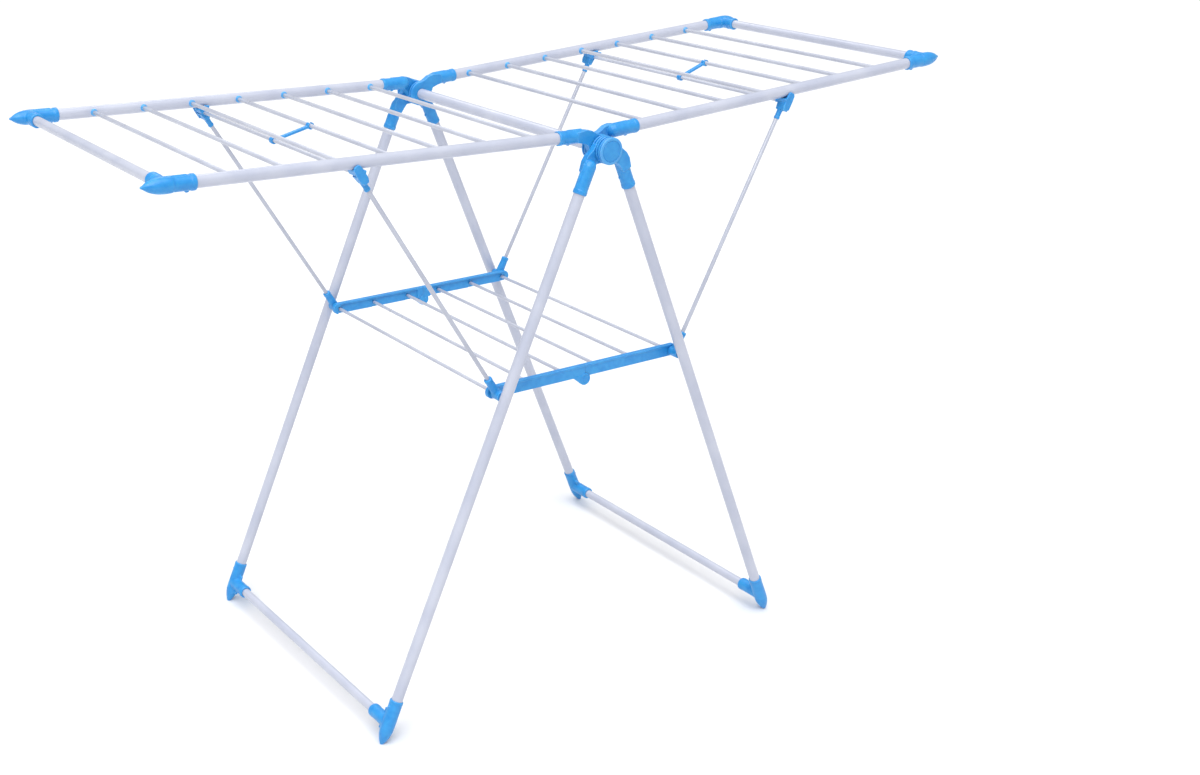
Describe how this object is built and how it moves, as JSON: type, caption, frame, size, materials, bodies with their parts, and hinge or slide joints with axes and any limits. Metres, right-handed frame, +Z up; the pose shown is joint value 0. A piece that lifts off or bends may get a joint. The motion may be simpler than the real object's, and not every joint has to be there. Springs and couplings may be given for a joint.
{
  "type": "clothes drying rack",
  "caption": "Folding winged clothes drying rack of white tubes and rods with blue plastic hubs, feet and corner joints and a folding lower shelf.",
  "frame": {"origin": "on the ground under the middle of the rack", "axes": "+X along the wings to the right, +Y along the drying rods to the far side, +Z up"},
  "size_m": [1.5536, 0.6146, 1.0286],
  "materials": {
    "white_tube": "glossy white powder coat on steel tube",
    "white_rod": "glossy white coating on steel rod",
    "blue_plastic": "moulded sky-blue polypropylene with a soft gloss"
  },
  "bodies": {
    "left_leg_frame": {"hub_spine_tube": "white_tube", "hub_bolt_near": "blue_plastic", "hub_bolt_far": "blue_plastic", "left_leg_socket_near": "blue_plastic", "left_leg_socket_far": "blue_plastic", "left_leg_tube_near": "white_tube", "left_leg_tube_far": "white_tube", "left_foot_near": "blue_plastic", "left_foot_far": "blue_plastic", "left_foot_crossbar": "white_tube"},
    "left_wing": {"left_wing_socket_near": "blue_plastic", "left_wing_socket_far": "blue_plastic", "left_wing_tube_near": "white_tube", "left_wing_tube_far": "white_tube", "left_wing_corner_near": "blue_plastic", "left_wing_corner_far": "blue_plastic", "left_wing_end_tube": "white_tube", "left_wing_rod_1": "white_rod", "left_wing_rod_2": "white_rod", "left_wing_rod_3": "white_rod", "left_wing_rod_4": "white_rod", "left_wing_rod_5": "white_rod", "left_wing_rod_6": "white_rod", "left_wing_rod_7": "white_rod"},
    "left_support": {"left_wing_support": "white_tube"},
    "left_tie": {"left_support_tie": "blue_plastic"},
    "left_shelf": {"shelf_rail_left_near": "blue_plastic", "shelf_rail_left_far": "blue_plastic", "shelf_rod_left_1": "white_rod", "shelf_rod_left_2": "white_rod", "shelf_rod_left_3": "white_rod"},
    "right_leg_frame": {"right_leg_socket_near": "blue_plastic", "right_leg_socket_far": "blue_plastic", "right_leg_tube_near": "white_tube", "right_leg_tube_far": "white_tube", "right_foot_near": "blue_plastic", "right_foot_far": "blue_plastic", "right_foot_crossbar": "white_tube"},
    "right_wing": {"right_wing_socket_near": "blue_plastic", "right_wing_socket_far": "blue_plastic", "right_wing_tube_near": "white_tube", "right_wing_tube_far": "white_tube", "right_wing_corner_near": "blue_plastic", "right_wing_corner_far": "blue_plastic", "right_wing_end_tube": "white_tube", "right_wing_rod_1": "white_rod", "right_wing_rod_2": "white_rod", "right_wing_rod_3": "white_rod", "right_wing_rod_4": "white_rod", "right_wing_rod_5": "white_rod", "right_wing_rod_6": "white_rod", "right_wing_rod_7": "white_rod"},
    "right_support": {"right_wing_support": "white_tube"},
    "right_tie": {"right_support_tie": "blue_plastic"},
    "right_shelf": {"shelf_rail_right_near": "blue_plastic", "shelf_rail_right_far": "blue_plastic", "shelf_rod_right_1": "white_rod", "shelf_rod_right_2": "white_rod", "shelf_rod_right_3": "white_rod"}
  },
  "joints": [
    {"name": "leg_fold", "type": "hinge", "parent": "left_leg_frame", "child": "right_leg_frame", "pos_m": [0, 0, 0.95], "axis": [0, 1, 0], "range_deg": [0, 44]},
    {"name": "left_wing_fold", "type": "hinge", "parent": "left_leg_frame", "child": "left_wing", "pos_m": [0, 0, 0.95], "axis": [0, -1, 0], "range_deg": [0, 62]},
    {"name": "left_support_swing", "type": "hinge", "parent": "left_leg_frame", "child": "left_support", "pos_m": [-0.18634, 0, 0.566], "axis": [0, -1, 0], "range_deg": [0, 129.58]},
    {"name": "left_tie_swing", "type": "hinge", "parent": "left_support", "child": "left_tie", "pos_m": [-0.43913, 0, 0.96567], "axis": [0, 1, 0], "range_deg": [0, 254.2]},
    {"name": "right_wing_fold", "type": "hinge", "parent": "right_leg_frame", "child": "right_wing", "pos_m": [0, 0, 0.95], "axis": [0, 1, 0], "range_deg": [0, 62]},
    {"name": "right_support_swing", "type": "hinge", "parent": "right_leg_frame", "child": "right_support", "pos_m": [0.18634, 0, 0.566], "axis": [0, 1, 0], "range_deg": [0, 129.58]},
    {"name": "right_tie_swing", "type": "hinge", "parent": "right_support", "child": "right_tie", "pos_m": [0.40154, 0, 0.97797], "axis": [0, -1, 0], "range_deg": [0, 34.1]},
    {"name": "shelf_lift", "type": "hinge", "parent": "left_leg_frame", "child": "left_shelf", "pos_m": [-0.18634, 0, 0.566], "axis": [0, -1, 0], "range_deg": [0, 63.7]},
    {"name": "shelf_middle_fold", "type": "hinge", "parent": "left_shelf", "child": "right_shelf", "pos_m": [0, 0, 0.551], "axis": [0, 1, 0], "range_deg": [0, 171.4]}
  ],
  "couplings": [
    {"joint": "left_support_swing", "follows": "left_wing_fold", "ratio": 2.09},
    {"joint": "left_tie_swing", "follows": "left_wing_fold", "ratio": 4.1},
    {"joint": "right_support_swing", "follows": "right_wing_fold", "ratio": 2.09},
    {"joint": "right_tie_swing", "follows": "right_wing_fold", "ratio": 0.55},
    {"joint": "shelf_lift", "follows": "leg_fold", "ratio": 1.4478},
    {"joint": "shelf_middle_fold", "follows": "leg_fold", "ratio": 3.8955}
  ]
}
